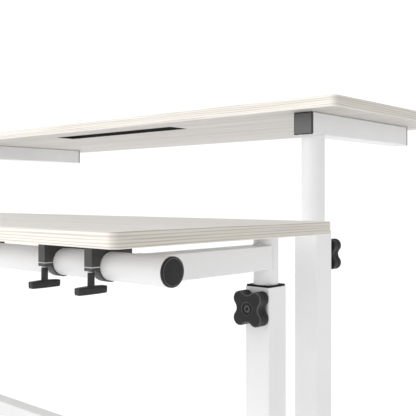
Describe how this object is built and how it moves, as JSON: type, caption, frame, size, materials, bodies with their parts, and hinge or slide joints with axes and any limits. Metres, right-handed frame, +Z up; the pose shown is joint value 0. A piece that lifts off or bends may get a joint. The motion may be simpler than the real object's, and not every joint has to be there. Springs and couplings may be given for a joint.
{
  "type": "two-tier mobile desk with tilting drawing board",
  "caption": "Two-tier height-adjustable mobile desk: a drawing board tilts on a clamped round tube in front of a raised shelf with a cable slot, on sliding posts with star knobs and casters.",
  "frame": {"origin": "on the floor, under the middle of the desk's bounding box, at its rest height", "axes": "+X to the seated user's right, +Y from the user towards the shelf, +Z up"},
  "size_m": [1.04, 0.749, 0.8794],
  "materials": {
    "laminate": "light white-washed maple laminate with faint grain along the desk's width",
    "white_steel": "white powder coat with a fine satin texture",
    "grey_plastic": "dark grey moulded plastic with a fine matt grain",
    "black_plastic": "black moulded plastic",
    "knob_plastic": "near-black moulded plastic with a satin sheen on its edges",
    "caster_steel": "bright zinc-plated steel",
    "wheel_rubber": "black rubber tread on a dark hub"
  },
  "bodies": {
    "base": {"foot_right": "white_steel", "foot_cap_front_right": "grey_plastic", "foot_cap_rear_right": "grey_plastic", "front_column_right": "white_steel", "front_collar_right": "black_plastic", "rear_column_right": "white_steel", "rear_collar_right": "black_plastic", "foot_left": "white_steel", "foot_cap_front_left": "grey_plastic", "foot_cap_rear_left": "grey_plastic", "front_column_left": "white_steel", "front_collar_left": "black_plastic", "rear_column_left": "white_steel", "rear_collar_left": "black_plastic", "crossbar": "white_steel"},
    "lower_tier": {"pivot_tube": "white_steel", "pivot_tube_cap_right": "grey_plastic", "arm_right": "white_steel", "front_post_right": "white_steel", "pivot_tube_cap_left": "grey_plastic", "arm_left": "white_steel", "front_post_left": "white_steel"},
    "drawing_board_assembly": {"drawing_board": "laminate", "middle_saddle_right": "grey_plastic", "outer_saddle_right": "grey_plastic", "outer_strap_right": "grey_plastic", "inner_saddle_right": "grey_plastic", "inner_strap_right": "grey_plastic", "middle_saddle_left": "grey_plastic", "outer_saddle_left": "grey_plastic", "outer_strap_left": "grey_plastic", "inner_saddle_left": "grey_plastic", "inner_strap_left": "grey_plastic"},
    "upper_tier": {"shelf": "laminate", "slot_liner": "black_plastic", "shelf_rail_right": "white_steel", "rear_post_right": "white_steel", "rail_cap_front_right": "grey_plastic", "rail_cap_rear_right": "grey_plastic", "shelf_rail_left": "white_steel", "rear_post_left": "white_steel", "rail_cap_front_left": "grey_plastic", "rail_cap_rear_left": "grey_plastic"},
    "outer_clamp_screw_right": {"outer_clamp_screw_right": "knob_plastic"},
    "inner_clamp_screw_right": {"inner_clamp_screw_right": "knob_plastic"},
    "outer_clamp_screw_left": {"outer_clamp_screw_left": "knob_plastic"},
    "inner_clamp_screw_left": {"inner_clamp_screw_left": "knob_plastic"},
    "front_knob_right": {"front_knob_right": "knob_plastic"},
    "front_knob_left": {"front_knob_left": "knob_plastic"},
    "rear_knob_right": {"rear_knob_right": "knob_plastic"},
    "rear_knob_left": {"rear_knob_left": "knob_plastic"},
    "caster_fork_front_right": {"caster_fork_front_right": "caster_steel"},
    "caster_wheel_front_right": {"caster_wheel_front_right": "wheel_rubber"},
    "caster_fork_front_left": {"caster_fork_front_left": "caster_steel"},
    "caster_wheel_front_left": {"caster_wheel_front_left": "wheel_rubber"},
    "caster_fork_rear_right": {"caster_fork_rear_right": "caster_steel"},
    "caster_wheel_rear_right": {"caster_wheel_rear_right": "wheel_rubber"},
    "caster_fork_rear_left": {"caster_fork_rear_left": "caster_steel"},
    "caster_wheel_rear_left": {"caster_wheel_rear_left": "wheel_rubber"}
  },
  "joints": [
    {"name": "lower_tier_lift", "type": "slide", "parent": "base", "child": "lower_tier", "axis": [0, 0, 1], "range_m": [-0.018, 0.35]},
    {"name": "upper_tier_lift", "type": "slide", "parent": "base", "child": "upper_tier", "axis": [0, 0, 1], "range_m": [-0.13, 0.3]},
    {"name": "board_tilt", "type": "hinge", "parent": "lower_tier", "child": "drawing_board_assembly", "pos_m": [0, -0.256, 0.6741], "axis": [1, 0, 0], "range_deg": [0, 75]},
    {"name": "outer_clamp_screw_right_turn", "type": "hinge", "parent": "drawing_board_assembly", "child": "outer_clamp_screw_right", "pos_m": [0.373, -0.2792, 0.6741], "axis": [0, 0, -1], "range_deg": [0, 720]},
    {"name": "inner_clamp_screw_right_turn", "type": "hinge", "parent": "drawing_board_assembly", "child": "inner_clamp_screw_right", "pos_m": [0.289, -0.2792, 0.6741], "axis": [0, 0, -1], "range_deg": [0, 720]},
    {"name": "outer_clamp_screw_left_turn", "type": "hinge", "parent": "drawing_board_assembly", "child": "outer_clamp_screw_left", "pos_m": [-0.373, -0.2792, 0.6741], "axis": [0, 0, -1], "range_deg": [0, 720]},
    {"name": "inner_clamp_screw_left_turn", "type": "hinge", "parent": "drawing_board_assembly", "child": "inner_clamp_screw_left", "pos_m": [-0.289, -0.2792, 0.6741], "axis": [0, 0, -1], "range_deg": [0, 720]},
    {"name": "front_knob_right_turn", "type": "hinge", "parent": "base", "child": "front_knob_right", "pos_m": [0.43, -0.0455, 0.6124], "axis": [0, -1, 0], "range_deg": [0, 720]},
    {"name": "front_knob_left_turn", "type": "hinge", "parent": "base", "child": "front_knob_left", "pos_m": [-0.43, -0.0455, 0.6124], "axis": [0, -1, 0], "range_deg": [0, 720]},
    {"name": "rear_knob_right_turn", "type": "hinge", "parent": "base", "child": "rear_knob_right", "pos_m": [0.43, 0.0625, 0.6698], "axis": [0, 1, 0], "range_deg": [0, 720]},
    {"name": "rear_knob_left_turn", "type": "hinge", "parent": "base", "child": "rear_knob_left", "pos_m": [-0.43, 0.0625, 0.6698], "axis": [0, 1, 0], "range_deg": [0, 720]},
    {"name": "caster_swivel_front_right", "type": "hinge", "parent": "base", "child": "caster_fork_front_right", "pos_m": [0.43, -0.2395, 0.068], "axis": [0, 0, 1], "continuous": true},
    {"name": "caster_roll_front_right", "type": "hinge", "parent": "caster_fork_front_right", "child": "caster_wheel_front_right", "pos_m": [0.43, -0.2215, 0.025], "axis": [1, 0, 0], "continuous": true},
    {"name": "caster_swivel_front_left", "type": "hinge", "parent": "base", "child": "caster_fork_front_left", "pos_m": [-0.43, -0.2395, 0.068], "axis": [0, 0, 1], "continuous": true},
    {"name": "caster_roll_front_left", "type": "hinge", "parent": "caster_fork_front_left", "child": "caster_wheel_front_left", "pos_m": [-0.43, -0.2215, 0.025], "axis": [1, 0, 0], "continuous": true},
    {"name": "caster_swivel_rear_right", "type": "hinge", "parent": "base", "child": "caster_fork_rear_right", "pos_m": [0.43, 0.2705, 0.068], "axis": [0, 0, 1], "continuous": true},
    {"name": "caster_roll_rear_right", "type": "hinge", "parent": "caster_fork_rear_right", "child": "caster_wheel_rear_right", "pos_m": [0.43, 0.2885, 0.025], "axis": [1, 0, 0], "continuous": true},
    {"name": "caster_swivel_rear_left", "type": "hinge", "parent": "base", "child": "caster_fork_rear_left", "pos_m": [-0.43, 0.2705, 0.068], "axis": [0, 0, 1], "continuous": true},
    {"name": "caster_roll_rear_left", "type": "hinge", "parent": "caster_fork_rear_left", "child": "caster_wheel_rear_left", "pos_m": [-0.43, 0.2885, 0.025], "axis": [1, 0, 0], "continuous": true}
  ]
}
